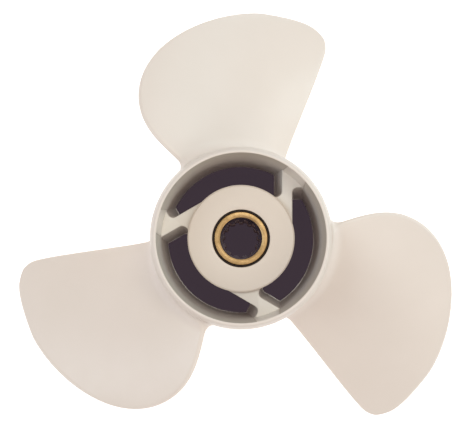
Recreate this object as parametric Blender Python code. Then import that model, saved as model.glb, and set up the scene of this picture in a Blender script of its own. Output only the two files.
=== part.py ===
# Three-bladed outboard propeller with the exhaust led through its hub.
# Metres. +Z runs along the shaft axis towards the front rim; heights inside the functions are
# measured from the rear face, and every piece is then lowered by BALANCE_HEIGHT.
import math

import bmesh
import bpy
from mathutils import Vector

GAP = 0.0003
BLADE_COUNT = 3
ROUND_SIDES = 96
BALANCE_HEIGHT = 0.0500

# Hub lengths, from the rear face
HUB_LENGTH = 0.097
SHOULDER_HEIGHT = 0.089
HUB_FACE_HEIGHT = 0.0735
RIB_FACE_HEIGHT = 0.0705
RIB_REAR_HEIGHT = 0.026
HUB_REAR_HEIGHT = 0.014
LIP_HEIGHT = 0.067
SLEEVE_FRONT_HEIGHT = 0.0745
SLEEVE_REAR_HEIGHT = 0.009
BUSH_REAR_HEIGHT = 0.017

# Radii about the shaft axis
BARREL_RADIUS = 0.0462
RIM_RADIUS = 0.0436
PASSAGE_RADIUS = 0.0426
PASSAGE_REAR_RADIUS = 0.0415
RECESS_RADIUS = 0.0436
FLARE_RADIUS = 0.0500
FLARE_MOUTH_RADIUS = 0.0474
INNER_HUB_RADIUS = 0.0280
HUB_LIP_RADIUS = 0.0151
HUB_BORE_RADIUS = 0.0230
SLEEVE_RADIUS = 0.0138
SLEEVE_MOUTH_RADIUS = 0.01095
SPLINE_TOP_RADIUS = 0.0103
SPLINE_TOOTH_RADIUS = 0.0092
SPLINE_COUNT = 13
SPLINE_MOUTH_DEPTH = 0.020
EDGE_BREAK = 0.0004
FACE_CHAMFER = 0.0007
FACE_CHAMFER_DEPTH = 0.0005
REAR_CHAMFER = 0.0008
COLLAR_SINK = 0.0010
LIP_ROUND = 0.0008
FLARE_TOP = 0.022
FLARE_LIP_HEIGHT = 0.003
FLARE_SWEEP = 1.8

# Where the shoulder's curve starts beside the flat rim, in degrees from level
SHOULDER_START = 25.0

# Ribs: slabs set beside the axis, so that they leave the inner hub almost as tangents
RIB_NEAR_OFFSET = 0.02165
RIB_FAR_OFFSET = 0.0270
RIB_STEP_HEIGHT = 0.0270
RIB_HUB_FILLET = 0.0032
RIB_STEP_FILLET = 0.0029
RIB_NEAR_DRAFT = 0.0024
RIB_STEP_DRAFT = 0.0036
RIB_TOE = 0.0006

# Blades, with their plan drawn about a middle line that points along +Y
PITCH = 0.286
BLADE_MIDDLE_ANGLE = 96.0
LEADING_ROOT_ANGLE = 31.7
TRAILING_ROOT_ANGLE = -35.5
LEADING_ROOT_HEIGHT = 0.0876
TIP_RAKE = 0.013
TIP_RADIUS = 0.1285
ROOT_THICKNESS = 0.0095
TIP_THICKNESS = 0.0034
EDGE_THICKNESS = 0.0026
FRONT_SHARE = 0.8
FACE_FILLET = 0.007
LEADING_FILLET = 0.0045
TRAILING_FILLET = 0.008
ROOT_SINK = 0.0022
THICKNESS_FALL = 0.8
RAKE_SWEEP = 1.2
FOOT_SWEEP = 2.2
ROW_SPREAD = 1.6
CURVE_STEPS = 40
NOSE_STEPS = (0.0, 0.15, 0.5, 1.0)
CHORD_CELLS = 15
SPAN_CELLS = 17

# Plan of a blade in metres: X runs clockwise seen from the front, Y outwards. Each curve has
# two handles, between the points where it starts and ends
FLANK_HANDLES = ((-0.0344, 0.0508), (-0.0453, 0.0608))
LEADING_BULGE = (-0.0453, 0.0771)
SHOULDER_HANDLES = ((-0.0453, 0.1099), (-0.0032, 0.1266))
CROWN = (0.0241, 0.1247)
TIP_HANDLES = ((0.0327, 0.1234), (0.0482, 0.1204))
CORNER_START = (0.0536, 0.1159)
CORNER_HANDLES = ((0.0577, 0.1124), (0.0619, 0.1079))
CORNER_END = (0.0586, 0.1001)
TRAILING_HANDLES = ((0.0515, 0.0836), (0.0354, 0.0567))
CORNER_SPLIT = 0.5
CROWN_SPLIT = 0.34


def clear_scene():
    for leftover in list(bpy.data.objects):
        bpy.data.objects.remove(leftover, do_unlink=True)


def paint(name, colour, roughness, metallic):
    material = bpy.data.materials.new(name)
    material.use_nodes = True
    shader = material.node_tree.nodes["Principled BSDF"]
    shader.inputs["Base Color"].default_value = (*colour, 1.0)
    shader.inputs["Roughness"].default_value = roughness
    shader.inputs["Metallic"].default_value = metallic
    return material


def finish_object(name, shape, material, axis_empty, turn=0.0):
    bmesh.ops.remove_doubles(shape, verts=shape.verts[:], dist=1e-6)
    bmesh.ops.recalc_face_normals(shape, faces=shape.faces[:])
    mesh = bpy.data.meshes.new(name)
    shape.to_mesh(mesh)
    shape.free()
    mesh.shade_smooth()
    mesh.set_sharp_from_angle(angle=math.radians(35.0))
    piece = bpy.data.objects.new(name, mesh)
    piece.data.materials.append(material)
    piece.parent = axis_empty
    piece.rotation_euler = (0.0, 0.0, turn)
    bpy.context.scene.collection.objects.link(piece)
    return piece


def arc(centre, radius, start, end, steps):
    # Points on an arc, with the angles in degrees
    points = []
    for step in range(steps + 1):
        angle = math.radians(start + (end - start) * step / steps)
        points.append((centre[0] + radius * math.cos(angle), centre[1] + radius * math.sin(angle)))
    return points


def turned(profile):
    # A closed profile of (radius, height) points, spun once round the shaft axis
    shape = bmesh.new()
    corners = [shape.verts.new((radius, 0.0, height)) for radius, height in profile]
    for index, corner in enumerate(corners):
        shape.edges.new((corner, corners[(index + 1) % len(corners)]))
    bmesh.ops.spin(
        shape,
        geom=shape.verts[:] + shape.edges[:],
        cent=(0.0, 0.0, 0.0),
        axis=(0.0, 0.0, 1.0),
        angle=math.tau,
        steps=ROUND_SIDES,
        use_merge=True,
    )
    return shape


def make_outer_barrel(material, axis_empty):
    # The shoulder starts at a slope beside the flat rim and rounds over into the barrel
    shoulder = []
    start = math.radians(SHOULDER_START)
    for step in range(6):
        angle = start + (math.pi / 2.0 - start) * step / 5
        out = (math.sin(angle) - math.sin(start)) / (1.0 - math.sin(start))
        radius = RIM_RADIUS + (BARREL_RADIUS - RIM_RADIUS) * out
        height = SHOULDER_HEIGHT + (HUB_LENGTH - SHOULDER_HEIGHT) * math.cos(angle) / math.cos(start)
        shoulder.append((radius, height))
    profile = [(PASSAGE_RADIUS + EDGE_BREAK, HUB_LENGTH)]
    profile += shoulder
    profile.append((BARREL_RADIUS, RIB_REAR_HEIGHT + GAP))
    profile.append((PASSAGE_REAR_RADIUS, RIB_REAR_HEIGHT + GAP))
    profile.append((PASSAGE_RADIUS, HUB_LENGTH - EDGE_BREAK))
    return finish_object("outer_barrel", turned(profile), material, axis_empty)


def make_rear_flare_ring(material, axis_empty):
    # The outside sweeps from the barrel's size to the lip, and the mouth follows it inside
    outside = []
    inside = []
    for step in range(6):
        share = step / 5
        sweep = share ** FLARE_SWEEP
        height = FLARE_TOP + (FLARE_LIP_HEIGHT - FLARE_TOP) * share
        outside.append((BARREL_RADIUS + (FLARE_RADIUS - BARREL_RADIUS) * sweep, height))
        height = FLARE_TOP * (1.0 - share)
        inside.append((RECESS_RADIUS + (FLARE_MOUTH_RADIUS - RECESS_RADIUS) * sweep, height))
    ledge = RECESS_RADIUS - PASSAGE_REAR_RADIUS
    profile = [(BARREL_RADIUS, RIB_REAR_HEIGHT)]
    profile += outside
    profile.append((FLARE_RADIUS - 0.25 * LIP_ROUND, LIP_ROUND))
    profile.append((FLARE_RADIUS - LIP_ROUND, 0.0))
    profile += reversed(inside)
    profile.append((RECESS_RADIUS, RIB_REAR_HEIGHT - ledge))
    profile.append((PASSAGE_REAR_RADIUS, RIB_REAR_HEIGHT))
    return finish_object("rear_flare_ring", turned(profile), material, axis_empty)


def make_inner_hub(material, axis_empty):
    profile = [
        (HUB_LIP_RADIUS + EDGE_BREAK, HUB_FACE_HEIGHT),
        (INNER_HUB_RADIUS - FACE_CHAMFER, HUB_FACE_HEIGHT),
        (INNER_HUB_RADIUS, HUB_FACE_HEIGHT - FACE_CHAMFER_DEPTH),
        (INNER_HUB_RADIUS, HUB_REAR_HEIGHT + REAR_CHAMFER),
        (INNER_HUB_RADIUS - REAR_CHAMFER, HUB_REAR_HEIGHT),
        (HUB_BORE_RADIUS + REAR_CHAMFER, HUB_REAR_HEIGHT),
        (HUB_BORE_RADIUS, HUB_REAR_HEIGHT + REAR_CHAMFER),
        (HUB_BORE_RADIUS, LIP_HEIGHT),
        (HUB_LIP_RADIUS, LIP_HEIGHT),
        (HUB_LIP_RADIUS, HUB_FACE_HEIGHT - EDGE_BREAK),
    ]
    return finish_object("inner_hub", turned(profile), material, axis_empty)


def make_rubber_bush(material, axis_empty):
    # The bush fills the hub's bore, and a thin collar of it shows round the sleeve in front
    inner = SLEEVE_RADIUS + GAP
    collar = HUB_LIP_RADIUS - GAP
    outer = HUB_BORE_RADIUS - GAP
    profile = [
        (inner, HUB_FACE_HEIGHT - COLLAR_SINK),
        (collar, HUB_FACE_HEIGHT - COLLAR_SINK),
        (collar, LIP_HEIGHT - GAP),
        (outer, LIP_HEIGHT - GAP),
        (outer, BUSH_REAR_HEIGHT + REAR_CHAMFER),
        (outer - REAR_CHAMFER, BUSH_REAR_HEIGHT),
        (inner, BUSH_REAR_HEIGHT),
    ]
    return finish_object("rubber_bush", turned(profile), material, axis_empty)


def spline_radii():
    # Radii of the bore's outline: root, root, tooth, tooth for each of the splines
    pattern = [SPLINE_TOP_RADIUS, SPLINE_TOP_RADIUS, SPLINE_TOOTH_RADIUS, SPLINE_TOOTH_RADIUS]
    return pattern * SPLINE_COUNT


def make_splined_sleeve(material, axis_empty):
    points = 4 * SPLINE_COUNT
    mouth_floor = SLEEVE_FRONT_HEIGHT - SPLINE_MOUTH_DEPTH
    plain_rings = [
        (SLEEVE_RADIUS - EDGE_BREAK, SLEEVE_REAR_HEIGHT),
        (SLEEVE_RADIUS, SLEEVE_REAR_HEIGHT + EDGE_BREAK),
        (SLEEVE_RADIUS, SLEEVE_FRONT_HEIGHT - EDGE_BREAK),
        (SLEEVE_RADIUS - EDGE_BREAK, SLEEVE_FRONT_HEIGHT),
        (SLEEVE_MOUTH_RADIUS + EDGE_BREAK, SLEEVE_FRONT_HEIGHT),
        (SLEEVE_MOUTH_RADIUS, SLEEVE_FRONT_HEIGHT - EDGE_BREAK),
        (SLEEVE_MOUTH_RADIUS, mouth_floor),
    ]
    rings = [([radius] * points, height) for radius, height in plain_rings]
    rings.append((spline_radii(), mouth_floor))
    rings.append((spline_radii(), SLEEVE_REAR_HEIGHT))
    shape = bmesh.new()
    loops = []
    for radii, height in rings:
        loop = []
        for index, radius in enumerate(radii):
            angle = math.tau * index / points
            loop.append(shape.verts.new((radius * math.cos(angle), radius * math.sin(angle), height)))
        loops.append(loop)
    for level, loop in enumerate(loops):
        following = loops[(level + 1) % len(loops)]
        for index in range(points):
            after = (index + 1) % points
            shape.faces.new((loop[index], loop[after], following[after], following[index]))
    return finish_object("splined_sleeve", shape, material, axis_empty)


def passage_wall(height):
    # The wall's radius, which the core's draft makes smaller towards the rear
    share = (height - RIB_REAR_HEIGHT) / (HUB_LENGTH - RIB_REAR_HEIGHT)
    return PASSAGE_REAR_RADIUS + (PASSAGE_RADIUS - PASSAGE_REAR_RADIUS) * share


def rib_outline(height):
    # Outline of the upper right rib, seen from the front. Its draft makes it thicker behind
    depth_share = (RIB_FACE_HEIGHT - height) / (RIB_FACE_HEIGHT - RIB_REAR_HEIGHT)
    near = RIB_NEAR_OFFSET - RIB_NEAR_DRAFT * depth_share
    step = RIB_STEP_HEIGHT - RIB_STEP_DRAFT * depth_share
    hub = INNER_HUB_RADIUS + GAP
    wall = passage_wall(height) - GAP
    reach = hub + RIB_HUB_FILLET
    fillet_x = near - RIB_HUB_FILLET
    fillet_y = math.sqrt(reach ** 2 - fillet_x ** 2)
    # Both toes end where the rib is still RIB_TOE thick over the hub
    toe = hub + RIB_TOE
    far_toe = math.degrees(math.acos(RIB_FAR_OFFSET / toe))
    short_of_hub = math.acos((reach ** 2 + RIB_HUB_FILLET ** 2 - toe ** 2) / (2.0 * reach * RIB_HUB_FILLET))
    fillet_end = math.degrees(math.atan2(fillet_y, fillet_x) + short_of_hub) - 180.0
    fillet = arc((fillet_x, fillet_y), RIB_HUB_FILLET, 0.0, fillet_end, 3)
    near_toe = math.degrees(math.atan2(fillet[-1][1], fillet[-1][0]))
    wall_start = math.degrees(math.asin(step / wall))
    wall_end = math.degrees(math.acos(near / wall))
    step_centre = (RIB_FAR_OFFSET + RIB_STEP_FILLET, step - RIB_STEP_FILLET)
    outline = arc((0.0, 0.0), hub, near_toe, far_toe, 6)
    outline.append((RIB_FAR_OFFSET, toe * math.sin(math.radians(far_toe))))
    outline += arc(step_centre, RIB_STEP_FILLET, 180.0, 90.0, 3)
    outline += arc((0.0, 0.0), wall, wall_start, wall_end, 4)
    return outline + fillet


def make_rib(number, material, axis_empty):
    shape = bmesh.new()
    rings = []
    for height in (RIB_FACE_HEIGHT, RIB_REAR_HEIGHT + GAP):
        rings.append([shape.verts.new((x, y, height)) for x, y in rib_outline(height)])
    front, rear = rings
    shape.faces.new(front)
    shape.faces.new(list(reversed(rear)))
    for index, corner in enumerate(front):
        after = (index + 1) % len(front)
        shape.faces.new((corner, rear[index], rear[after], front[after]))
    bmesh.ops.triangulate(shape, faces=shape.faces[:])
    turn = math.tau * (number - 1) / BLADE_COUNT
    return finish_object("exhaust_rib_%d" % number, shape, material, axis_empty, turn)


def bezier(start, handles, end):
    points = []
    corners = (start, *handles, end)
    for step in range(CURVE_STEPS + 1):
        t = step / CURVE_STEPS
        s = 1.0 - t
        weights = (s ** 3, 3 * s * s * t, 3 * s * t * t, t ** 3)
        x = sum(weight * corner[0] for weight, corner in zip(weights, corners))
        y = sum(weight * corner[1] for weight, corner in zip(weights, corners))
        points.append((x, y))
    return points


def along(points, share):
    # The point at a share of a polyline's length
    lengths = [math.dist(a, b) for a, b in zip(points, points[1:])]
    wanted = share * sum(lengths)
    for index, length in enumerate(lengths):
        if wanted <= length or index == len(lengths) - 1:
            t = min(wanted / length, 1.0)
            a = points[index]
            b = points[index + 1]
            return (a[0] + (b[0] - a[0]) * t, a[1] + (b[1] - a[1]) * t)
        wanted -= length


def root_point(angle):
    turn = math.radians(angle)
    return (-BARREL_RADIUS * math.sin(turn), BARREL_RADIUS * math.cos(turn))


def blade_sides():
    # Four sides of the plan: trailing edge, leading edge, root and crown. The leading edge's
    # long curve is split where it turns over the crown
    leading_root = root_point(LEADING_ROOT_ANGLE)
    trailing_root = root_point(TRAILING_ROOT_ANGLE)
    flank = bezier(leading_root, FLANK_HANDLES, LEADING_BULGE)
    shoulder = bezier(LEADING_BULGE, SHOULDER_HANDLES, CROWN)
    tip = bezier(CROWN, TIP_HANDLES, CORNER_START)
    corner = bezier(CORNER_START, CORNER_HANDLES, CORNER_END)
    edge = bezier(CORNER_END, TRAILING_HANDLES, trailing_root)
    split = round(CROWN_SPLIT * CURVE_STEPS)
    corner_split = round(CORNER_SPLIT * CURVE_STEPS)
    leading = flank + shoulder[1:split + 1]
    trailing = list(reversed(corner[corner_split:] + edge[1:]))
    crown = list(reversed(shoulder[split:] + tip[1:] + corner[1:corner_split + 1]))
    root = arc((0.0, 0.0), BARREL_RADIUS, 90.0 + TRAILING_ROOT_ANGLE, 90.0 + LEADING_ROOT_ANGLE, 24)
    return trailing, leading, root, crown


def plan_point(sides, across, out):
    # Blend of the four sides; across runs from the trailing to the leading edge
    trailing, leading, root, crown = sides
    t = along(trailing, out)
    lead = along(leading, out)
    r = along(root, across)
    c = along(crown, across)
    low = [(1 - across) * a + across * b for a, b in zip(trailing[0], leading[0])]
    high = [(1 - across) * a + across * b for a, b in zip(trailing[-1], leading[-1])]
    point = []
    for k in range(2):
        side = (1 - across) * t[k] + across * lead[k]
        ends = (1 - out) * r[k] + out * c[k]
        point.append(side + ends - (1 - out) * low[k] - out * high[k])
    return point


def flare(height, reach):
    # Extra width of a concave foot at a height above the barrel
    if height >= reach:
        return 0.0
    return reach * (1.0 - max(height, 0.0) / reach) ** FOOT_SWEEP


def swell(step):
    # Share of the thickness at a step into the rounded nose of a rim
    return math.sqrt(1.0 - (1.0 - step) ** 2)


def spaced(cells, first_nose, last_nose):
    # Places from 0 to 1 with their swell; the steps are close together inside the noses
    places = [(first_nose * step, swell(step)) for step in NOSE_STEPS[:-1]] if first_nose else []
    inner = cells - len(places) - (len(NOSE_STEPS) - 1)
    for index in range(inner + 1):
        share = index / inner if first_nose else (index / inner) ** ROW_SPREAD
        places.append((first_nose + (1.0 - first_nose - last_nose) * share, 1.0))
    places += [(1.0 - last_nose * step, swell(step)) for step in reversed(NOSE_STEPS[:-1])]
    return places


def column_places(sides, out):
    # Places across one row of the blade, with the noses as long as the rim and its foot are wide
    trailing = along(sides[0], out)
    leading = along(sides[1], out)
    noses = []
    for point, reach in ((trailing, TRAILING_FILLET), (leading, LEADING_FILLET)):
        above = math.hypot(*point) - BARREL_RADIUS
        noses.append((0.5 * EDGE_THICKNESS + flare(above, reach)) / math.dist(trailing, leading))
    return spaced(CHORD_CELLS, *noses)


def blade_point(sides, across, out, side):
    # A point of a blade's surface; side runs from +1 in front over 0 on the rim to -1 behind
    x, y = plan_point(sides, across, out)
    radius = math.hypot(x, y)
    angle = math.atan2(-x, y)
    above = max(radius - BARREL_RADIUS, 0.0)
    rise = PITCH / math.tau
    slope = math.hypot(rise, radius)
    span = above / (TIP_RADIUS - BARREL_RADIUS)
    centre = 1.0 - (2.0 * across - 1.0) ** 2
    middle = ROOT_THICKNESS + (TIP_THICKNESS - ROOT_THICKNESS) * min(span, 1.0) ** THICKNESS_FALL
    thickness = EDGE_THICKNESS + (middle - EDGE_THICKNESS) * centre ** THICKNESS_FALL
    share = FRONT_SHARE if side > 0 else 1.0 - FRONT_SHARE
    share = 0.5 + (share - 0.5) * centre
    offset = side * (thickness * share + flare(above, FACE_FILLET))
    spread = across * flare(above, LEADING_FILLET) - (1.0 - across) * flare(above, TRAILING_FILLET)
    angle += spread / slope
    height = LEADING_ROOT_HEIGHT + rise * (angle - math.radians(LEADING_ROOT_ANGLE))
    height -= TIP_RAKE * span ** RAKE_SWEEP
    angle -= offset * rise / (slope * radius)
    height += offset * radius / slope
    if out == 0.0:
        radius = BARREL_RADIUS - ROOT_SINK
    angle += math.radians(BLADE_MIDDLE_ANGLE)
    return Vector((radius * math.cos(angle), radius * math.sin(angle), height))


def blade_sheet(shape, sides, face):
    # One face of the blade, laid out as a grid; it gives back the row of corners at the root
    made = bmesh.ops.create_grid(shape, x_segments=CHORD_CELLS, y_segments=SPAN_CELLS, size=1.0)
    crown_nose = 0.5 * TIP_THICKNESS / (TIP_RADIUS - BARREL_RADIUS)
    rows = spaced(SPAN_CELLS, 0.0, crown_nose)
    root = []
    for corner in made["verts"]:
        column = round(0.5 * (corner.co.x + 1.0) * CHORD_CELLS)
        row = round(0.5 * (corner.co.y + 1.0) * SPAN_CELLS)
        out, row_swell = rows[row]
        across, column_swell = column_places(sides, out)[column]
        corner.co = blade_point(sides, across, out, face * row_swell * column_swell)
        if row == 0:
            root.append(corner)
    return root


def make_root_cutter(axis_empty):
    # The barrel's outside with the fitting gap, which trims the blades' feet
    profile = [(0.020, 0.0), (BARREL_RADIUS + GAP, 0.0), (BARREL_RADIUS + GAP, 0.12), (0.020, 0.12)]
    steel = paint("guide", (0.5, 0.5, 0.5), 0.5, 0.0)
    cutter = finish_object("root_cutter", turned(profile), steel, axis_empty)
    cutter.hide_render = True
    cutter.display_type = "WIRE"
    return cutter


def make_blade(number, material, axis_empty, cutter):
    sides = blade_sides()
    shape = bmesh.new()
    root = set(blade_sheet(shape, sides, 1) + blade_sheet(shape, sides, -1))
    feet = [edge for edge in shape.edges if edge.is_boundary and root.issuperset(edge.verts)]
    bmesh.ops.bridge_loops(shape, edges=feet)
    turn = math.tau * (number - 1) / BLADE_COUNT
    blade = finish_object("blade_%d" % number, shape, material, axis_empty, turn)
    trim = blade.modifiers.new("root trim", "BOOLEAN")
    trim.operation = "DIFFERENCE"
    trim.solver = "EXACT"
    trim.object = cutter
    return blade


def build_propeller():
    clear_scene()
    casting_paint = paint("off white paint", (0.78, 0.71, 0.63), 0.38, 0.0)
    bush_rubber = paint("black rubber", (0.02, 0.02, 0.02), 0.7, 0.0)
    sleeve_brass = paint("brass", (0.72, 0.45, 0.16), 0.35, 1.0)
    axis_empty = bpy.data.objects.new("shaft_axis", None)
    axis_empty.location = (0.0, 0.0, -BALANCE_HEIGHT)
    bpy.context.scene.collection.objects.link(axis_empty)
    make_outer_barrel(casting_paint, axis_empty)
    make_rear_flare_ring(casting_paint, axis_empty)
    make_inner_hub(casting_paint, axis_empty)
    make_rubber_bush(bush_rubber, axis_empty)
    make_splined_sleeve(sleeve_brass, axis_empty)
    cutter = make_root_cutter(axis_empty)
    for number in range(1, BLADE_COUNT + 1):
        make_rib(number, casting_paint, axis_empty)
        make_blade(number, casting_paint, axis_empty, cutter)


build_propeller()
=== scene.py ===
# Small outboard propeller: painted aluminium casting, rubber bush, splined brass sleeve.
# Metres. The shaft axis is Z and the front rim looks up, as the part stands on a bench.
import math

import bmesh
import bpy
from mathutils import Euler, Matrix, Vector


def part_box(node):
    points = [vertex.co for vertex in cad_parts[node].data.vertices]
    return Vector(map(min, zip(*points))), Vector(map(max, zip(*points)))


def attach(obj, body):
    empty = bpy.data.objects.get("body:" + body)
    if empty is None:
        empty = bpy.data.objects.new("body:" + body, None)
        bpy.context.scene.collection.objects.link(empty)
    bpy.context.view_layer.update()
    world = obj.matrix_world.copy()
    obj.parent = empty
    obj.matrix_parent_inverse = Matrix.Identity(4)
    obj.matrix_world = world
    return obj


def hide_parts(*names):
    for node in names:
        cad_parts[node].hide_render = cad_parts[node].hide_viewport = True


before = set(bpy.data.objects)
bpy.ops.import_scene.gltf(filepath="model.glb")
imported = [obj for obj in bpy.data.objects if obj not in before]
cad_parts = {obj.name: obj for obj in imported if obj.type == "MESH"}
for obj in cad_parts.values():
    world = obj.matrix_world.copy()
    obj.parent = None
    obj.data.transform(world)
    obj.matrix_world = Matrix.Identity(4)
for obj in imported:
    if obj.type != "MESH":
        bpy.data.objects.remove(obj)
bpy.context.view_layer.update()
print("frame loaded:", len(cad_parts), "nodes")

# Levels and radii that the frame gives
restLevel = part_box("rear_flare_ring")[0].z
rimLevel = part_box("outer_barrel")[1].z
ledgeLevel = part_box("rear_flare_ring")[1].z
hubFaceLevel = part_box("inner_hub")[1].z
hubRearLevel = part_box("inner_hub")[0].z
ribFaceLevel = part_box("exhaust_rib_1")[1].z
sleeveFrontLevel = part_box("splined_sleeve")[1].z
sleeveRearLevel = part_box("splined_sleeve")[0].z
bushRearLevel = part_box("rubber_bush")[0].z
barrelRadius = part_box("outer_barrel")[1].x
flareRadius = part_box("rear_flare_ring")[1].x
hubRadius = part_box("inner_hub")[1].x
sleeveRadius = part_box("splined_sleeve")[1].x
bladeCount = 3
hair = 0.00001  # slack when a face or corner is told by its place


def arcPoints(centre, radius, start, end, steps):
    # points on an arc in the XY plane, angles in degrees
    points = []
    for step in range(steps + 1):
        angle = math.radians(start + (end - start) * step / steps)
        points.append((centre[0] + radius * math.cos(angle), centre[1] + radius * math.sin(angle)))
    return points


def turnProfile(profile, sides, longest):
    # spins a closed outline of (radius, height, rounding) points round the shaft axis
    shape = bmesh.new()
    corners = [shape.verts.new((radius, 0.0, height)) for radius, height, rounding in profile]
    shape.faces.new(corners)
    for corner, (radius, height, rounding) in zip(corners, profile):
        if rounding:
            bmesh.ops.bevel(
                shape, geom=[corner], offset=rounding, offset_type="OFFSET", segments=4,
                profile=0.5, affect="VERTICES", material=-1,
            )
    bmesh.ops.delete(shape, geom=shape.faces[:], context="FACES_ONLY")
    for edge in shape.edges[:]:
        cuts = int(edge.calc_length() / longest)
        if cuts:
            bmesh.ops.subdivide_edges(shape, edges=[edge], cuts=cuts)
    bmesh.ops.spin(
        shape, geom=shape.verts[:] + shape.edges[:], cent=(0, 0, 0), axis=(0, 0, 1),
        angle=math.tau, steps=sides, use_merge=True,
    )
    return shape


def turnTo(shape, number):
    # turns a shape round the shaft to the place of one blade or rib
    bmesh.ops.rotate(
        shape, verts=shape.verts[:], cent=(0, 0, 0),
        matrix=Matrix.Rotation(math.tau * number / bladeCount, 3, "Z"),
    )
    return shape


def finishPiece(name, shape, materials, sharpAngle=35.0):
    bmesh.ops.remove_doubles(shape, verts=shape.verts[:], dist=1e-6)
    bmesh.ops.recalc_face_normals(shape, faces=shape.faces[:])
    mesh = bpy.data.meshes.new(name)
    shape.to_mesh(mesh)
    shape.free()
    mesh.shade_smooth()
    mesh.set_sharp_from_angle(angle=math.radians(sharpAngle))
    piece = bpy.data.objects.new(name, mesh)
    for material in materials:
        mesh.materials.append(material)
    bpy.context.scene.collection.objects.link(piece)
    return piece


# Materials

def newMaterial(name):
    material = bpy.data.materials.new(name)
    material.use_nodes = True
    nodes = material.node_tree.nodes
    return material, nodes, material.node_tree.links, nodes["Principled BSDF"]


def addNoise(nodes, links, place, scale, detail=3.0, roughness=0.5):
    noise = nodes.new("ShaderNodeTexNoise")
    noise.inputs["Scale"].default_value = scale
    noise.inputs["Detail"].default_value = detail
    noise.inputs["Roughness"].default_value = roughness
    links.new(place, noise.inputs["Vector"])
    return noise.outputs["Fac"]


def addRange(nodes, links, value, fromMin, fromMax, toMin, toMax):
    spread = nodes.new("ShaderNodeMapRange")
    spread.inputs["From Min"].default_value = fromMin
    spread.inputs["From Max"].default_value = fromMax
    spread.inputs["To Min"].default_value = toMin
    spread.inputs["To Max"].default_value = toMax
    links.new(value, spread.inputs["Value"])
    return spread.outputs["Result"]


def addMix(nodes, links, factor, first, second):
    mix = nodes.new("ShaderNodeMix")
    mix.data_type = "RGBA"
    links.new(factor, mix.inputs["Factor"])
    for value, socket in ((first, mix.inputs["A"]), (second, mix.inputs["B"])):
        if isinstance(value, tuple):
            socket.default_value = (*value, 1.0)
        else:
            links.new(value, socket)
    return mix.outputs["Result"]


def addBump(nodes, links, height, distance, strength, before=None):
    bump = nodes.new("ShaderNodeBump")
    bump.inputs["Strength"].default_value = strength
    bump.inputs["Distance"].default_value = distance
    links.new(height, bump.inputs["Height"])
    if before:
        links.new(before, bump.inputs["Normal"])
    return bump.outputs["Normal"]


def addProduct(nodes, links, first, second):
    product = nodes.new("ShaderNodeMath")
    product.operation = "MULTIPLY"
    links.new(first, product.inputs[0])
    links.new(second, product.inputs[1])
    return product.outputs["Value"]


def addPlace(nodes, links):
    # object position, its height along the shaft and its distance from the axis
    place = nodes.new("ShaderNodeTexCoord").outputs["Object"]
    split = nodes.new("ShaderNodeSeparateXYZ")
    links.new(place, split.inputs["Vector"])
    flat = nodes.new("ShaderNodeCombineXYZ")
    links.new(split.outputs["X"], flat.inputs["X"])
    links.new(split.outputs["Y"], flat.inputs["Y"])
    reach = nodes.new("ShaderNodeVectorMath")
    reach.operation = "LENGTH"
    links.new(flat.outputs["Vector"], reach.inputs[0])
    return place, split.outputs["Z"], reach.outputs["Value"]


paint = {
    "cream": (0.798, 0.712, 0.632),
    "creamShade": (0.784, 0.699, 0.617),
    "creamHub": (0.796, 0.698, 0.600),
    "hubReach": (0.038, 0.043),
    # painted light: a lighter tone that lifts the rib faces deep in their recess
    "ribFacePaintedLight": (0.85, 0.79, 0.71),
    "ribStart": (0.0282, 0.0288),
    "ribEnd": (0.0420, 0.0428),
    # painted shade: a darker band on the shoulder beside the rim, where the groove to the blade
    # roots is
    "shoulderPaintedShade": (0.70, 0.625, 0.55),
    "shoulderStart": (0.0436, 0.0441),
    "shoulderEnd": (0.0460, 0.0474),
    # painted shade near the rim and painted light deep down on the passage walls
    "passagePaintedShadeFront": (0.54, 0.49, 0.415),
    "passagePaintedLightDeep": (0.80, 0.735, 0.70),
    "bareEdge": (0.80, 0.76, 0.72),
    "roughness": (0.30, 0.42),
    "passageRoughness": 0.62,
    "bareMetal": (1.0, 0.4),
    "bareRoughness": (0.45, 0.65),
    "cloudScale": 34.0,
    "patchScale": 160.0,
    "peelScale": 1100.0,
    "peelHeight": 0.00002,
    "sandScale": 260.0,
    "sandHeight": 0.00008,
    "grainScale": 240.0,
    "grainHeight": 0.0002,
    "grainShift": 0.16,
    "wearScale": 180.0,
}


def makeCastingPaint():
    # satin paint with faint clouding and a fine orange peel, a slightly warmer tone on the inner
    # hub, a painted highlight lifting the rib faces in their recess and a painted shade band on
    # the shoulder beside the rim
    material, nodes, links, shader = newMaterial("satinCastingPaint")
    place, height, reach = addPlace(nodes, links)
    clouds = addNoise(nodes, links, place, paint["cloudScale"], 4.0)
    clouds = addRange(nodes, links, clouds, 0.35, 0.65, 0.0, 1.0)
    colour = addMix(nodes, links, clouds, paint["cream"], paint["creamShade"])
    inside = addRange(nodes, links, reach, *paint["hubReach"], 1.0, 0.0)
    colour = addMix(nodes, links, inside, colour, paint["creamHub"])
    # painted light on the rib faces and painted shade on the shoulder beside the rim, each laid on
    # as a band of distance from the axis
    for start, end, tone in (("ribStart", "ribEnd", "ribFacePaintedLight"),
                             ("shoulderStart", "shoulderEnd", "shoulderPaintedShade")):
        rise = addRange(nodes, links, reach, *paint[start], 0.0, 1.0)
        fall = addRange(nodes, links, reach, *paint[end], 1.0, 0.0)
        colour = addMix(nodes, links, addProduct(nodes, links, rise, fall), colour, paint[tone])
    links.new(colour, shader.inputs["Base Color"])
    patches = addNoise(nodes, links, place, paint["patchScale"], 2.0)
    links.new(addRange(nodes, links, patches, 0.3, 0.7, *paint["roughness"]),
              shader.inputs["Roughness"])
    peel = addNoise(nodes, links, place, paint["peelScale"], 2.0)
    sand = addNoise(nodes, links, place, paint["sandScale"], 3.0)
    normal = addBump(nodes, links, sand, paint["sandHeight"], 0.5)
    normal = addBump(nodes, links, peel, paint["peelHeight"], 0.6, normal)
    links.new(normal, shader.inputs["Normal"])
    return material


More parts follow.
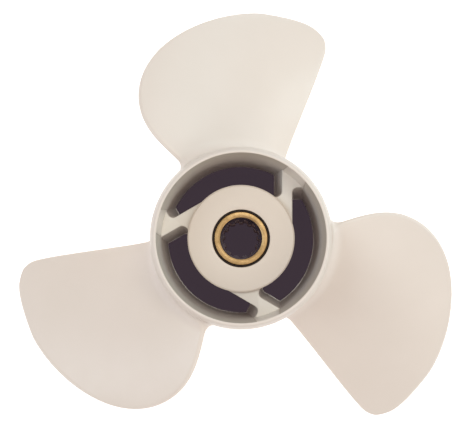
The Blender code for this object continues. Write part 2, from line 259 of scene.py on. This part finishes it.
def makePassagePaint():
    # painted shade near the rim and painted light deep down on the exhaust passage walls, with a
    # grainy wobble, standing in for how light falls into the passages
    material, nodes, links, shader = newMaterial("passagePaintedLightAndShade")
    place, height, reach = addPlace(nodes, links)
    grain = addNoise(nodes, links, place, paint["grainScale"], 4.0, 0.6)
    depth = addRange(nodes, links, height, rimLevel, ledgeLevel, 0.0, 1.0)
    wobble = nodes.new("ShaderNodeMath")
    wobble.operation = "MULTIPLY_ADD"
    wobble.inputs[1].default_value = paint["grainShift"]
    links.new(grain, wobble.inputs[0])
    links.new(depth, wobble.inputs[2])
    deep = addRange(nodes, links, wobble.outputs["Value"], 0.08, 0.85, 0.0, 1.0)
    colour = addMix(nodes, links, deep, paint["passagePaintedShadeFront"], paint["passagePaintedLightDeep"])
    links.new(colour, shader.inputs["Base Color"])
    shader.inputs["Roughness"].default_value = paint["passageRoughness"]
    normal = addBump(nodes, links, grain, paint["grainHeight"], 0.6)
    links.new(normal, shader.inputs["Normal"])
    return material


def makeBareEdge():
    # thin flash that the trimming left bare at the rear end of the passages
    material, nodes, links, shader = newMaterial("bareCastingEdge")
    place, height, reach = addPlace(nodes, links)
    wear = addNoise(nodes, links, place, paint["wearScale"], 3.0)
    shader.inputs["Base Color"].default_value = (*paint["bareEdge"], 1.0)
    links.new(addRange(nodes, links, wear, 0.4, 0.6, *paint["bareMetal"]),
              shader.inputs["Metallic"])
    links.new(addRange(nodes, links, wear, 0.3, 0.7, *paint["bareRoughness"]),
              shader.inputs["Roughness"])
    return material


brass = {
    "bright": (0.60, 0.395, 0.185),
    "dull": (0.44, 0.285, 0.125),
    # painted shade down the bore, darker and more purple deeper in, and a lighter painted tone on
    # the splines
    "bore": (0.09, 0.07, 0.08),
    "boreDeep": (0.115, 0.075, 0.105),
    "splines": (0.80, 0.67, 0.64),
    "boreReach": (0.0112, 0.0113),
    # distances down from the front of the sleeve, then up from its rear
    "boreShadeStart": (0.0008, 0.0030),
    "deepStart": (0.004, 0.018),
    "splineStart": (0.0202, 0.0206),
    "boreShadeRearFade": (0.003, 0.012),
    "boreMetal": 0.1,
    "roughness": (0.40, 0.55),
    "patchScale": 190.0,
    "ringScale": 5200.0,
    "ringHeight": 0.00003,
}


def makeBrass():
    # turned brass: fine rings round the shaft, tarnish in patches, purple-black painted shade down
    # the bore and a lighter painted tone on the splines deep down
    material, nodes, links, shader = newMaterial("turnedBrass")
    place, height, reach = addPlace(nodes, links)
    rings = nodes.new("ShaderNodeCombineXYZ")
    links.new(reach, rings.inputs["X"])
    links.new(height, rings.inputs["Y"])
    marks = addNoise(nodes, links, rings.outputs["Vector"], brass["ringScale"], 2.0)
    patches = addNoise(nodes, links, place, brass["patchScale"], 4.0, 0.65)
    tarnish = addMix(nodes, links, addRange(nodes, links, patches, 0.38, 0.66, 0.0, 1.0),
                     brass["bright"], brass["dull"])

    def below(name):
        levels = [sleeveFrontLevel - depth for depth in brass[name]]
        return addRange(nodes, links, height, *levels, 0.0, 1.0)

    # painted shade in the bore from just below the front, fading out near the rear; the splines
    # deep down get a lighter painted tone
    inside = addRange(nodes, links, reach, *brass["boreReach"], 1.0, 0.0)
    rearLevels = [sleeveRearLevel + rise for rise in brass["boreShadeRearFade"]]
    ahead = addRange(nodes, links, height, *rearLevels, 0.0, 1.0)
    bore = addProduct(nodes, links, addProduct(nodes, links, below("boreShadeStart"), inside), ahead)
    paintedBoreShade = addMix(nodes, links, below("deepStart"), brass["bore"], brass["boreDeep"])
    paintedBoreShade = addMix(nodes, links, below("splineStart"), paintedBoreShade, brass["splines"])
    links.new(addMix(nodes, links, bore, tarnish, paintedBoreShade), shader.inputs["Base Color"])
    links.new(addRange(nodes, links, bore, 0.0, 1.0, 1.0, brass["boreMetal"]),
              shader.inputs["Metallic"])
    links.new(addRange(nodes, links, patches, 0.3, 0.7, *brass["roughness"]),
              shader.inputs["Roughness"])
    links.new(addBump(nodes, links, marks, brass["ringHeight"], 0.5), shader.inputs["Normal"])
    return material


rubber = {
    "dark": (0.016, 0.009, 0.006),
    "dusty": (0.036, 0.022, 0.016),
    "roughness": (0.62, 0.82),
    "bloomScale": 300.0,
    "bloomHeight": 0.0001,
}


def makeRubber():
    material, nodes, links, shader = newMaterial("bushRubber")
    place, height, reach = addPlace(nodes, links)
    bloom = addNoise(nodes, links, place, rubber["bloomScale"], 4.0, 0.6)
    links.new(addMix(nodes, links, bloom, rubber["dark"], rubber["dusty"]),
              shader.inputs["Base Color"])
    links.new(addRange(nodes, links, bloom, 0.3, 0.7, *rubber["roughness"]),
              shader.inputs["Roughness"])
    links.new(addBump(nodes, links, bloom, rubber["bloomHeight"], 0.5), shader.inputs["Normal"])
    return material


# Barrel with its shoulder, rim and flared rear ring

barrel = {
    "sides": 192,
    "rimRadius": 0.0436,
    "shoulderStart": 25.0,
    "shoulderDepth": 0.008,
    "wallRadius": 0.0426,
    "wallRearRadius": 0.0415,
    "recessRadius": 0.0436,
    "mouthRadius": 0.0474,
    "flareHeight": 0.022,
    "lipHeight": 0.003,
    "sweep": 1.8,
    "curveSteps": 12,
    "longestCell": 0.0020,
    "edgeRounding": 0.0004,
    "flash": 0.0004,
    "flashLeast": 0.05,
    "flashHeight": 0.0006,
    "flashMiddle": 285.0,
    "flashSpread": 2.0,
    "lipRounding": 0.0008,
}


def wallAt(level):
    # radius of the passage wall, which the core's draft makes smaller towards the rear
    share = (level - ledgeLevel) / (rimLevel - ledgeLevel)
    return barrel["wallRearRadius"] + (barrel["wallRadius"] - barrel["wallRearRadius"]) * share


def makeBarrel():
    steps = barrel["curveSteps"]
    profile = [(barrel["wallRadius"], rimLevel, barrel["edgeRounding"])]
    start = math.radians(barrel["shoulderStart"])
    for step in range(steps + 1):
        # the shoulder slopes off beside the flat rim and rounds over into the barrel
        angle = start + (math.pi / 2.0 - start) * step / steps
        out = (math.sin(angle) - math.sin(start)) / (1.0 - math.sin(start))
        radius = barrel["rimRadius"] + (barrelRadius - barrel["rimRadius"]) * out
        height = rimLevel - barrel["shoulderDepth"] * (1.0 - math.cos(angle) / math.cos(start))
        profile.append((radius, height, 0.0 if step else barrel["edgeRounding"]))
    for step in range(steps + 1):
        # the flare opens outside from the barrel down to the rear lip
        share = step / steps
        drop = (barrel["lipHeight"] - barrel["flareHeight"]) * share
        radius = barrelRadius + (flareRadius - barrelRadius) * share ** barrel["sweep"]
        profile.append((radius, restLevel + barrel["flareHeight"] + drop, 0.0))
    profile.append((flareRadius, restLevel, barrel["lipRounding"]))
    for step in range(steps, -1, -1):
        # and inside from the rear mouth up to the recess
        share = step / steps
        spread = (barrel["mouthRadius"] - barrel["recessRadius"]) * share ** barrel["sweep"]
        height = restLevel + barrel["flareHeight"] * (1.0 - share)
        profile.append((barrel["recessRadius"] + spread, height, 0.0))
    ledge = barrel["recessRadius"] - barrel["wallRearRadius"]
    profile.append((barrel["recessRadius"], ledgeLevel - ledge, 0.0))
    flashTop = ledgeLevel + barrel["flashHeight"]
    flashRadius = barrel["wallRearRadius"] - barrel["flash"]
    profile.append((flashRadius, ledgeLevel, 0.0))
    profile.append((flashRadius, flashTop, 0.0))
    profile.append((wallAt(flashTop), flashTop, 0.0))
    shape = turnProfile(profile, barrel["sides"], barrel["longestCell"])
    for corner in shape.verts:
        # the casting flash stands proud along the lower side only and runs out beside it
        if math.hypot(corner.co.x, corner.co.y) < flashRadius + hair:
            turn = math.atan2(corner.co.y, corner.co.x) - math.radians(barrel["flashMiddle"])
            share = 0.5 + barrel["flashSpread"] * math.cos(turn)
            proud = min(max(share, barrel["flashLeast"]), 1.0) * barrel["flash"]
            corner.co.x *= (barrel["wallRearRadius"] - proud) / flashRadius
            corner.co.y *= (barrel["wallRearRadius"] - proud) / flashRadius
    for face in shape.faces:
        centre = face.calc_center_median()
        onWall = math.hypot(centre.x, centre.y) < wallAt(centre.z) + 5.0 * hair
        if onWall and flashTop + 10.0 * hair < centre.z < rimLevel - barrel["edgeRounding"]:
            face.material_index = 1
        elif onWall and ledgeLevel < centre.z < flashTop + 10.0 * hair:
            face.material_index = 2
    return shape


# Inner hub

innerHub = {
    "sides": 192,
    "lipRadius": 0.0151,
    "lipDepth": 0.0065,
    "boreRadius": 0.0230,
    "faceChamfer": 0.0007,
    "faceChamferDepth": 0.0005,
    "edgeRounding": 0.0004,
    "rearRounding": 0.0008,
    "longestCell": 0.0020,
}


def makeInnerHub():
    chamfer = innerHub["faceChamfer"]
    profile = [
        (innerHub["lipRadius"], hubFaceLevel, innerHub["edgeRounding"]),
        (hubRadius - chamfer, hubFaceLevel, 0.0),
        (hubRadius, hubFaceLevel - innerHub["faceChamferDepth"], 0.0),
        (hubRadius, hubRearLevel, innerHub["rearRounding"]),
        (innerHub["boreRadius"], hubRearLevel, innerHub["rearRounding"]),
        (innerHub["boreRadius"], hubFaceLevel - innerHub["lipDepth"], 0.0),
        (innerHub["lipRadius"], hubFaceLevel - innerHub["lipDepth"], 0.0),
    ]
    shape = turnProfile(profile, innerHub["sides"], innerHub["longestCell"])
    for face in shape.faces:
        centre = face.calc_center_median()
        outside = math.hypot(centre.x, centre.y) > hubRadius - 10.0 * hair
        if outside and centre.z < ribFaceLevel:
            face.material_index = 1
    return shape


# Exhaust ribs between the inner hub and the barrel wall

rib = {
    "nearOffset": 0.02165,
    "farOffset": 0.0270,
    "stepHeight": 0.0270,
    "hubFillet": 0.0032,
    "stepFillet": 0.0029,
    "nearDraft": 0.0024,
    "stepDraft": 0.0036,
    "sink": 0.0008,
    "edgeRounding": 0.00045,
    "rearRounding": 0.0005,
    "hubGap": 0.00003,
    "arcSteps": 12,
    "filletSteps": 14,
    "flash": 0.0004,
    "flashHeight": 0.0006,
}


def ribOutline(level, flash=0.0):
    # upper right rib seen from the front; its draft makes it thicker behind
    depthShare = (ribFaceLevel - level) / (ribFaceLevel - ledgeLevel)
    near = rib["nearOffset"] - rib["nearDraft"] * depthShare - flash
    step = rib["stepHeight"] - rib["stepDraft"] * depthShare - flash
    far = rib["farOffset"] + flash
    hub = hubRadius - rib["hubGap"]
    wall = wallAt(level) + rib["sink"]
    filletX = near - rib["hubFillet"]
    filletY = math.sqrt((hub + rib["hubFillet"]) ** 2 - filletX ** 2)
    hubEnd = math.degrees(math.atan2(filletY, filletX))
    hubStart = math.degrees(math.acos(far / hub))
    wallStart = math.degrees(math.asin(step / wall))
    wallEnd = math.degrees(math.acos(near / wall))
    stepCentre = (far + rib["stepFillet"], step - rib["stepFillet"])
    outline = arcPoints((0.0, 0.0), hubRadius - rib["sink"], hubEnd, hubStart, rib["arcSteps"])
    outline.append((far, math.sqrt(hubRadius ** 2 - far ** 2)))
    outline += arcPoints(stepCentre, rib["stepFillet"], 180.0, 90.0, rib["arcSteps"])
    outline += arcPoints((0.0, 0.0), wall, wallStart, wallEnd, rib["arcSteps"])
    outline += arcPoints((filletX, filletY), rib["hubFillet"], 0.0, hubEnd - 180.0,
                         rib["filletSteps"])
    return outline


def makeRib(number):
    shape = bmesh.new()
    rings = []
    for level in (ribFaceLevel, ledgeLevel):
        ring = [shape.verts.new((x, y, level)) for x, y in ribOutline(level)]
        for index, corner in enumerate(ring):
            shape.edges.new((corner, ring[(index + 1) % len(ring)]))
        rings.append(ring)
    bmesh.ops.bridge_loops(shape, edges=shape.edges[:])
    for face in shape.faces:
        face.material_index = 1
    ends = [shape.faces.new(ring) for ring in rings]
    bmesh.ops.recalc_face_normals(shape, faces=shape.faces[:])
    for end, rounding in zip(ends, (rib["edgeRounding"], rib["rearRounding"])):
        bmesh.ops.bevel(
            shape, geom=list(end.edges), offset=rounding, offset_type="OFFSET", segments=3,
            profile=0.5, affect="EDGES", material=0, clamp_overlap=True,
        )
    return turnTo(shape, number)


def makeRibFlash(number):
    # thin casting flash round the rear end of a rib
    shape = bmesh.new()
    outline = ribOutline(ledgeLevel, rib["flash"])
    face = shape.faces.new([shape.verts.new((x, y, ledgeLevel)) for x, y in outline])
    raised = bmesh.ops.extrude_face_region(shape, geom=[face])["geom"]
    for side in shape.faces:
        side.material_index = 2
    top = [corner for corner in raised if isinstance(corner, bmesh.types.BMVert)]
    bmesh.ops.translate(shape, verts=top, vec=(0, 0, rib["flashHeight"]))
    return turnTo(shape, number)


# Pads on the wall above the ribs: they stand a little proud and narrow towards the rim

pad = {
    "ribStart": 39.2,
    "ribEnd": 58.4,
    "rimStart": 40.9,
    "rimEnd": 56.6,
    "proudAtRib": 0.00045,
    "proudAtRim": 0.00012,
    "sink": 0.0008,
    "topGap": 0.0005,
    "arcSteps": 16,
}


def makePad(number):
    shape = bmesh.new()
    ends = (
        (ribFaceLevel - pad["sink"], pad["ribStart"], pad["ribEnd"], pad["proudAtRib"]),
        (rimLevel - pad["topGap"], pad["rimStart"], pad["rimEnd"], pad["proudAtRim"]),
    )
    rings = []
    for level, start, end, proud in ends:
        outline = arcPoints((0.0, 0.0), wallAt(level) - proud, start, end, pad["arcSteps"])
        outline += arcPoints((0.0, 0.0), wallAt(level) + pad["sink"], end, start, pad["arcSteps"])
        ring = [shape.verts.new((x, y, level)) for x, y in outline]
        for index, corner in enumerate(ring):
            shape.edges.new((corner, ring[(index + 1) % len(ring)]))
        rings.append(ring)
    bmesh.ops.bridge_loops(shape, edges=shape.edges[:])
    for ring in rings:
        shape.faces.new(ring)
    return turnTo(shape, number)


# Blades, drawn in a flat plan and wrapped on a screw surface

blade = {
    "pitch": 0.286,
    "middleAngle": 96.0,
    "leadingRootAngle": 31.7,
    "trailingRootAngle": -35.5,
    "leadingRootHeight": 0.0876,
    "tipRake": 0.013,
    "rakeSweep": 1.2,
    "tipRadius": 0.1285,
    "rootThickness": 0.0095,
    "tipThickness": 0.0034,
    "edgeThickness": 0.0026,
    "thicknessFall": 0.8,
    "frontShare": 0.8,
    "faceFillet": 0.007,
    "leadingFillet": 0.0045,
    "trailingFillet": 0.008,
    "filletLift": 0.00006,
    "rootSink": 0.0022,
    "rowSpread": 1.9,
    "noseSteps": (0.0, 0.05, 0.15, 0.3, 0.5, 0.73, 1.0),
    "chordCells": 66,
    "spanCells": 66,
    "flankHandles": ((-0.0344, 0.0508), (-0.0453, 0.0608)),
    "leadingBulge": (-0.0453, 0.0771),
    "shoulderHandles": ((-0.0453, 0.1099), (-0.0032, 0.1266)),
    "crown": (0.0241, 0.1247),
    "tipHandles": ((0.0327, 0.1234), (0.0482, 0.1204)),
    "cornerStart": (0.0536, 0.1159),
    "cornerHandles": ((0.0577, 0.1124), (0.0619, 0.1079)),
    "cornerEnd": (0.0586, 0.1001),
    "trailingHandles": ((0.0515, 0.0836), (0.0354, 0.0567)),
    "crownSplit": 0.34,
    "cornerSplit": 0.5,
    "curveSteps": 100,
    "rootSteps": 60,
}


def curvePoints(start, handles, end):
    points = []
    corners = [Vector(corner) for corner in (start, *handles, end)]
    for step in range(blade["curveSteps"] + 1):
        t = step / blade["curveSteps"]
        s = 1.0 - t
        weights = (s ** 3, 3 * s * s * t, 3 * s * t * t, t ** 3)
        pulls = (corner * weight for corner, weight in zip(corners, weights))
        points.append(sum(pulls, Vector((0, 0))))
    return points


def pointAlong(points, share):
    # the point at a share of a polyline's length
    lengths = [(b - a).length for a, b in zip(points, points[1:])]
    wanted = share * sum(lengths)
    for index, length in enumerate(lengths):
        if wanted <= length or index == len(lengths) - 1:
            return points[index].lerp(points[index + 1], min(wanted / length, 1.0))
        wanted -= length


def planSides():
    # trailing side, leading side, root and crown of the flat plan
    def rootPoint(angle):
        turn = math.radians(angle)
        return Vector((-barrelRadius * math.sin(turn), barrelRadius * math.cos(turn)))

    leadingRoot = rootPoint(blade["leadingRootAngle"])
    trailingRoot = rootPoint(blade["trailingRootAngle"])
    flank = curvePoints(leadingRoot, blade["flankHandles"], blade["leadingBulge"])
    shoulder = curvePoints(blade["leadingBulge"], blade["shoulderHandles"], blade["crown"])
    tip = curvePoints(blade["crown"], blade["tipHandles"], blade["cornerStart"])
    corner = curvePoints(blade["cornerStart"], blade["cornerHandles"], blade["cornerEnd"])
    edge = curvePoints(blade["cornerEnd"], blade["trailingHandles"], trailingRoot)
    split = round(blade["crownSplit"] * blade["curveSteps"])
    cornerSplit = round(blade["cornerSplit"] * blade["curveSteps"])
    leading = flank + shoulder[1:split + 1]
    trailing = (corner[cornerSplit:] + edge[1:])[::-1]
    crown = (shoulder[split:] + tip[1:] + corner[1:cornerSplit + 1])[::-1]
    rootArc = arcPoints((0.0, 0.0), barrelRadius, 90.0 + blade["trailingRootAngle"],
                        90.0 + blade["leadingRootAngle"], blade["rootSteps"])
    return trailing, leading, [Vector(point) for point in rootArc], crown


def filletWidth(height, reach):
    # a concave quarter round that runs out on the barrel
    height = max(height, 0.0) + blade["filletLift"]
    if height >= reach:
        return 0.0
    return reach - math.sqrt(reach ** 2 - (reach - height) ** 2)


def noseSwell(step):
    return math.sqrt(1.0 - (1.0 - step) ** 2)


def cellPlaces(cells, firstNose, lastNose):
    # places from 0 to 1 with their share of the full thickness
    steps = blade["noseSteps"][:-1]
    places = [(firstNose * step, noseSwell(step)) for step in steps] if firstNose else []
    inner = cells - len(places) - len(steps)
    for index in range(inner + 1):
        share = index / inner if firstNose else (index / inner) ** blade["rowSpread"]
        places.append((firstNose + (1.0 - firstNose - lastNose) * share, 1.0))
    places += [(1.0 - lastNose * step, noseSwell(step)) for step in reversed(steps)]
    return places


def planRow(sides, out):
    # one row of the flat plan from the trailing to the leading edge, with the swell of each place
    trailing, leading, rootArc, crown = sides
    trail = pointAlong(trailing, out)
    lead = pointAlong(leading, out)
    noses = []
    for point, reach in ((trail, blade["trailingFillet"]), (lead, blade["leadingFillet"])):
        nose = 0.5 * blade["edgeThickness"] + filletWidth(point.length - barrelRadius, reach)
        noses.append(nose / (lead - trail).length)
    row = []
    for across, swell in cellPlaces(blade["chordCells"], *noses):
        side = trail.lerp(lead, across)
        ends = pointAlong(rootArc, across).lerp(pointAlong(crown, across), out)
        low = trailing[0].lerp(leading[0], across)
        high = trailing[-1].lerp(leading[-1], across)
        row.append((side + ends - low.lerp(high, out), across, swell))
    return row


def wrapPoint(flat, across, side, sunk):
    # wraps a plan point on the screw surface; side is +1 in front, 0 on the rim and -1 behind
    radius = flat.length
    angle = math.atan2(-flat.x, flat.y)
    above = max(radius - barrelRadius, 0.0)
    rise = blade["pitch"] / math.tau
    slope = math.hypot(rise, radius)
    span = above / (blade["tipRadius"] - barrelRadius)
    centre = 1.0 - (2.0 * across - 1.0) ** 2
    fall = blade["thicknessFall"]
    middle = blade["rootThickness"]
    middle += (blade["tipThickness"] - middle) * min(span, 1.0) ** fall
    thickness = blade["edgeThickness"] + (middle - blade["edgeThickness"]) * centre ** fall
    share = blade["frontShare"] if side > 0 else 1.0 - blade["frontShare"]
    share = 0.5 + (share - 0.5) * centre
    offset = side * (thickness * share + filletWidth(above, blade["faceFillet"]))
    spread = across * filletWidth(above, blade["leadingFillet"])
    spread -= (1.0 - across) * filletWidth(above, blade["trailingFillet"])
    angle += spread / slope
    height = restLevel + blade["leadingRootHeight"]
    height += rise * (angle - math.radians(blade["leadingRootAngle"]))
    height -= blade["tipRake"] * span ** blade["rakeSweep"]
    angle -= offset * rise / (slope * radius)
    height += offset * radius / slope
    if sunk:
        radius = barrelRadius - blade["rootSink"]
    angle += math.radians(blade["middleAngle"])
    return Vector((radius * math.cos(angle), radius * math.sin(angle), height))


def makeBlade(number):
    shape = bmesh.new()
    sides = planSides()
    tipNose = 0.5 * blade["tipThickness"] / (blade["tipRadius"] - barrelRadius)
    rowPlaces = cellPlaces(blade["spanCells"], 0.0, tipNose)
    rows = [(planRow(sides, out), swell) for out, swell in rowPlaces]
    feet = set()
    for face in (1, -1):
        made = bmesh.ops.create_grid(
            shape, x_segments=blade["chordCells"], y_segments=blade["spanCells"], size=1.0)
        for corner in made["verts"]:
            column = round(0.5 * (corner.co.x + 1.0) * blade["chordCells"])
            line = round(0.5 * (corner.co.y + 1.0) * blade["spanCells"])
            row, rowSwell = rows[line]
            flat, across, swell = row[column]
            corner.co = wrapPoint(flat, across, face * swell * rowSwell, line == 0)
            if line == 0:
                feet.add(corner)
    openEdges = [edge for edge in shape.edges if edge.is_boundary and feet.issuperset(edge.verts)]
    bmesh.ops.bridge_loops(shape, edges=openEdges)
    return turnTo(shape, number)


def joinCasting(materials):
    # the casting is one piece: barrel, inner hub, ribs and blades melted together
    body = finishPiece("barrelBlank", makeBarrel(), materials)
    parts = [finishPiece("hubBlank", makeInnerHub(), materials)]
    for number in range(bladeCount):
        parts.append(finishPiece("ribBlank", makeRib(number), materials))
        parts.append(finishPiece("flashBlank", makeRibFlash(number), materials))
        parts.append(finishPiece("padBlank", makePad(number), materials))
        parts.append(finishPiece("bladeBlank", makeBlade(number), materials))
    for part in parts:
        join = body.modifiers.new("join", "BOOLEAN")
        join.operation = "UNION"
        join.solver = "EXACT"
        join.object = part
    bpy.context.view_layer.update()
    evaluated = body.evaluated_get(bpy.context.evaluated_depsgraph_get())
    shape = bmesh.new()
    shape.from_mesh(evaluated.to_mesh())
    for part in [body] + parts:
        bpy.data.objects.remove(part, do_unlink=True)
    bmesh.ops.dissolve_degenerate(shape, edges=shape.edges[:], dist=1e-6)
    casting = finishPiece("propeller_casting", shape, materials, 32.0)
    print("casting joined:", len(casting.data.polygons), "faces")
    return casting


castingPaint = makeCastingPaint()
casting = joinCasting([castingPaint, makePassagePaint(), makeBareEdge()])
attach(casting, "root")
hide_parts("outer_barrel", "rear_flare_ring", "inner_hub",
            *["exhaust_rib_%d" % number for number in range(1, bladeCount + 1)],
            *["blade_%d" % number for number in range(1, bladeCount + 1)])


# Rubber bush

bush = {
    "sides": 128,
    "collarRadius": 0.0148,
    "collarDepth": 0.0068,
    "outerRadius": 0.0227,
    "innerRadius": 0.0141,
    "collarSink": 0.0010,
    "collarRounding": 0.0002,
    "outerRounding": 0.0008,
    "innerRounding": 0.0004,
    "longestCell": 0.0060,
}


def makeBush():
    collarLevel = hubFaceLevel - bush["collarSink"]
    shoulderLevel = hubFaceLevel - bush["collarDepth"]
    profile = [
        (bush["innerRadius"], collarLevel, bush["collarRounding"]),
        (bush["collarRadius"], collarLevel, bush["collarRounding"]),
        (bush["collarRadius"], shoulderLevel, 0.0),
        (bush["outerRadius"], shoulderLevel, 0.0),
        (bush["outerRadius"], bushRearLevel, bush["outerRounding"]),
        (bush["innerRadius"], bushRearLevel, bush["innerRounding"]),
    ]
    return turnProfile(profile, bush["sides"], bush["longestCell"])


bushPiece = finishPiece("moulded_rubber_bush", makeBush(), [makeRubber()])
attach(bushPiece, "root")
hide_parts("rubber_bush")
print("bush made")


# Splined brass sleeve

sleeve = {
    "mouthRadius": 0.01095,
    "mouthDepth": 0.020,
    "mouthChamfer": 0.0010,
    "mouthChamferDepth": 0.00035,
    "rootRadius": 0.0103,
    "toothRadius": 0.0092,
    "teeth": 13,
    "stepsPerTooth": 12,
    "edgeRounding": 0.0004,
    "mouthRounding": 0.0001,
    "longestCell": 0.0080,
}


def makeSleeve():
    mouthFloor = sleeveFrontLevel - sleeve["mouthDepth"]
    rounding = sleeve["mouthRounding"]
    profile = [
        (sleeveRadius, sleeveRearLevel, sleeve["edgeRounding"]),
        (sleeveRadius, sleeveFrontLevel, sleeve["edgeRounding"]),
        (sleeve["mouthRadius"] + sleeve["mouthChamfer"], sleeveFrontLevel, rounding),
        (sleeve["mouthRadius"], sleeveFrontLevel - sleeve["mouthChamferDepth"], rounding),
        (sleeve["mouthRadius"], mouthFloor, 0.0),
        (sleeve["rootRadius"], mouthFloor, 0.0),
        (sleeve["rootRadius"], sleeveRearLevel, 0.0),
    ]
    steps = sleeve["teeth"] * sleeve["stepsPerTooth"]
    shape = turnProfile(profile, steps, sleeve["longestCell"])
    for corner in shape.verts:
        reach = math.hypot(corner.co.x, corner.co.y)
        if reach > sleeve["rootRadius"] + 10.0 * hair:
            continue
        turn = math.atan2(corner.co.y, corner.co.x) / math.tau * steps
        if round(turn) % sleeve["stepsPerTooth"] < sleeve["stepsPerTooth"] // 2:
            corner.co.x *= sleeve["toothRadius"] / reach
            corner.co.y *= sleeve["toothRadius"] / reach
    return shape


sleevePiece = finishPiece("splined_brass_sleeve", makeSleeve(), [makeBrass()])
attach(sleevePiece, "root")
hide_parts("splined_sleeve")
print("sleeve made")


# Studio: pale floor, a dark disc that the hub stands over, soft lights, camera

studio = {
    "floorSize": 6.0,
    "floorColour": (0.95, 0.95, 0.95),
    "floorRoughness": 0.9,
    "floorGlow": 0.5,
    "floorDrop": 0.0002,
    "discRadius": 0.0465,
    "discLift": 0.0002,
    "discColour": (0.020, 0.014, 0.018),
    # painted glow: a faint purple light from the disc for the tone of the shade
    "discPaintedGlow": (0.045, 0.032, 0.042),
    "skyColour": (1.0, 0.87, 0.87),
    "skyStrength": 0.47,
    "lampDistance": 1.35,
    "lampSize": 0.7,
    # name, angle round the shaft, angle above the bench, power, colour
    "lamps": (
        ("lowRightLight", 0.0, 20.0, 4.1, (0.70, 0.92, 1.0)),
        ("lowUpperLight", 60.0, 20.0, 1.9, (0.55, 0.88, 1.0)),
        ("leftLight", 180.0, 45.0, 4.5, (0.75, 0.91, 1.0)),
        ("lowerRightLight", 300.0, 45.0, 2.7, (1.0, 0.98, 0.88)),
        ("overheadLight", 60.0, 70.0, 4.7, (0.96, 1.0, 0.92)),
    ),
}


def makeFloor():
    material, nodes, links, shader = newMaterial("paleFloor")
    shader.inputs["Base Color"].default_value = (*studio["floorColour"], 1.0)
    shader.inputs["Roughness"].default_value = studio["floorRoughness"]
    shader.inputs["Emission Color"].default_value = (1.0, 1.0, 1.0, 1.0)
    shader.inputs["Emission Strength"].default_value = studio["floorGlow"]
    shape = bmesh.new()
    bmesh.ops.create_grid(shape, x_segments=4, y_segments=4, size=0.5 * studio["floorSize"])
    bmesh.ops.translate(shape, verts=shape.verts[:], vec=(0, 0, restLevel - studio["floorDrop"]))
    floor = finishPiece("paleFloor", shape, [material])


def makeDarkDisc():
    # a dark disc under the hub as painted shade for the passages and the bore to look down on,
    # with a faint purple painted glow for the tone of that shade
    material, nodes, links, shader = newMaterial("darkDisc")
    shader.inputs["Base Color"].default_value = (*studio["discColour"], 1.0)
    shader.inputs["Roughness"].default_value = 1.0
    shader.inputs["Specular IOR Level"].default_value = 0.0
    shader.inputs["Emission Color"].default_value = (*studio["discPaintedGlow"], 1.0)
    shader.inputs["Emission Strength"].default_value = 1.0
    shape = bmesh.new()
    bmesh.ops.create_circle(shape, cap_ends=True, radius=studio["discRadius"], segments=96)
    bmesh.ops.translate(shape, verts=shape.verts[:], vec=(0, 0, restLevel + studio["discLift"]))
    disc = finishPiece("darkDisc", shape, [material])


def addSoftLight(name, turn, lift, power, colour):
    # a round soft box that looks at the part
    lamp = bpy.data.lights.new(name, "AREA")
    lamp.shape = "DISK"
    lamp.size = studio["lampSize"]
    lamp.energy = power
    lamp.color = colour
    light = bpy.data.objects.new(name, lamp)
    place = Vector((studio["lampDistance"], 0.0, 0.0))
    place.rotate(Euler((0.0, -math.radians(lift), math.radians(turn))))
    light.location = place
    light.rotation_euler = (-place).to_track_quat("-Z", "Y").to_euler()
    bpy.context.scene.collection.objects.link(light)


def lightStudio():
    world = bpy.data.worlds.new("studioSky")
    world.use_nodes = True
    sky = world.node_tree.nodes["Background"]
    sky.inputs["Color"].default_value = (*studio["skyColour"], 1.0)
    sky.inputs["Strength"].default_value = studio["skyStrength"]
    bpy.context.scene.world = world
    for lamp in studio["lamps"]:
        addSoftLight(*lamp)


view = {
    "place": (-0.0006, -0.0094, 0.592),
    "tiltX": -2.56,
    "tiltY": -0.225,
    "focalPixels": 993.0,
    "imageWidth": 472.0,
    "sensorWidth": 36.0,
    "nearest": 0.01,
}


def placeCamera():
    lens = bpy.data.cameras.new("photoView")
    lens.sensor_width = view["sensorWidth"]
    lens.lens = view["focalPixels"] * view["sensorWidth"] / view["imageWidth"]
    lens.clip_start = view["nearest"]
    camera = bpy.data.objects.new("photoView", lens)
    x, y, height = view["place"]
    tiltX = Matrix.Rotation(math.radians(view["tiltX"]), 4, "X")
    tiltY = Matrix.Rotation(math.radians(view["tiltY"]), 4, "Y")
    stand = Matrix.Translation((x, y, restLevel + height))
    camera.matrix_world = stand @ (tiltY @ tiltX).transposed()
    bpy.context.scene.collection.objects.link(camera)
    bpy.context.scene.camera = camera


makeFloor()
makeDarkDisc()
lightStudio()
placeCamera()
bpy.context.scene.view_settings.view_transform = "Standard"
print("studio ready")
